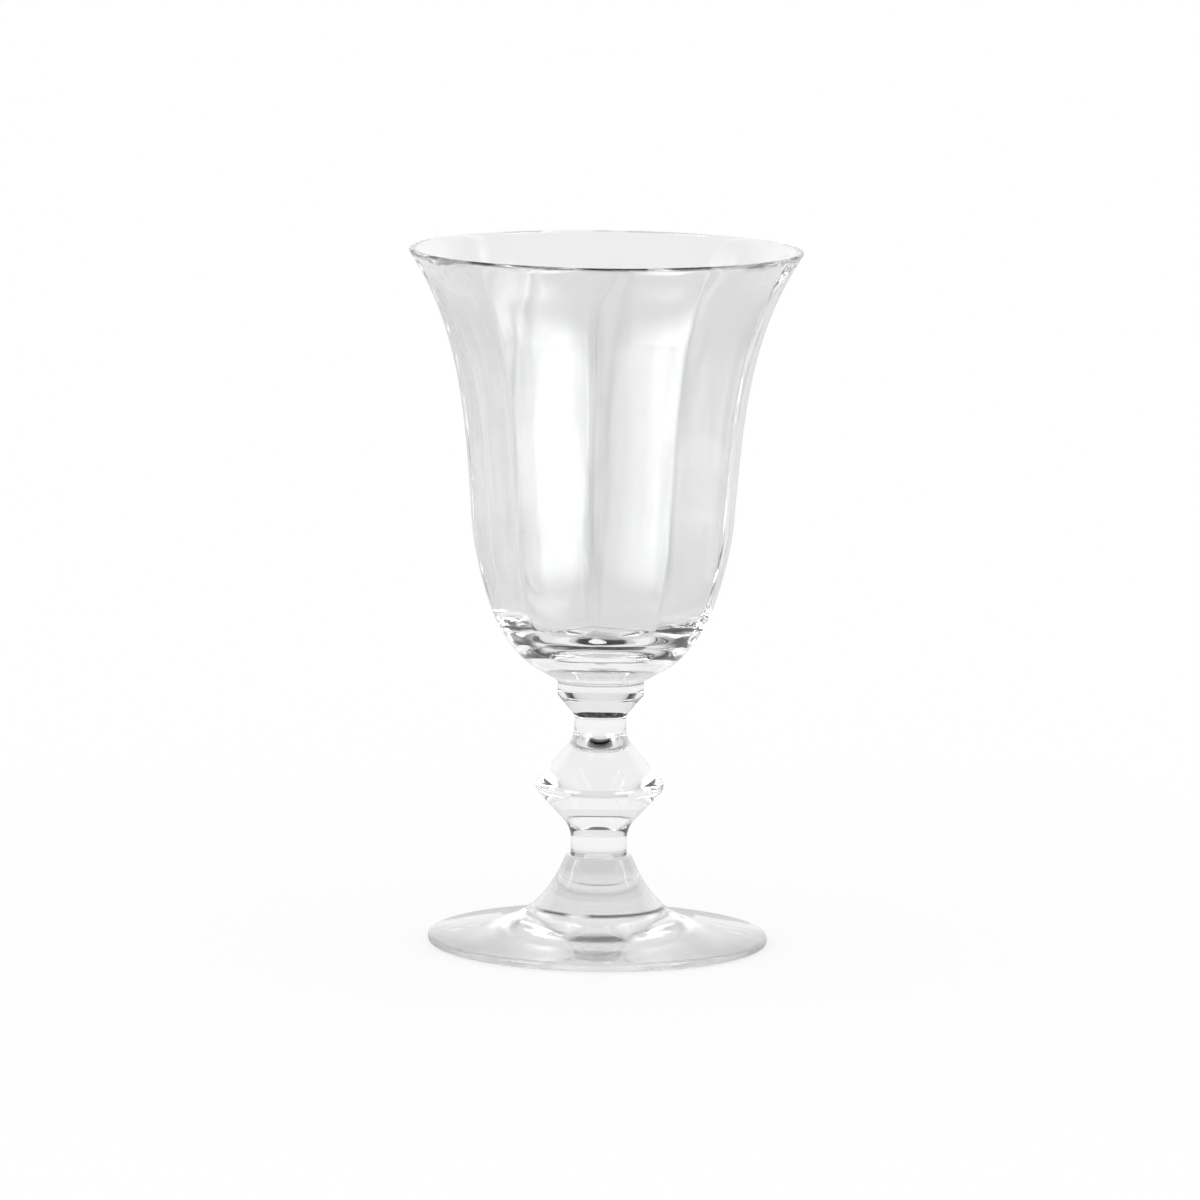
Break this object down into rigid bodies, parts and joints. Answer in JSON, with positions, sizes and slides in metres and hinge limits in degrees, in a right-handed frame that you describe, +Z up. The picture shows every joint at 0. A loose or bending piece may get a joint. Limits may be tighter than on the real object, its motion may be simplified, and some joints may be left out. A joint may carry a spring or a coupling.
{
  "type": "water goblet",
  "caption": "Clear glass water goblet with a flared, optic-panelled bowl on a collar, a short stem with a pointed knop, and a round foot.",
  "frame": {"origin": "centre of the foot's standing ring, on the table", "axes": "+Z up along the stem, -Y towards the viewer of the picture, +X to the viewer's right"},
  "size_m": [0.1038, 0.1038, 0.184],
  "materials": {
    "clear_glass": "clear, fire-polished"
  },
  "bodies": {
    "root": {"foot": "clear_glass", "foot_post": "clear_glass", "stem_knop": "clear_glass", "bowl_collar": "clear_glass", "bowl": "clear_glass"}
  },
  "joints": []
}
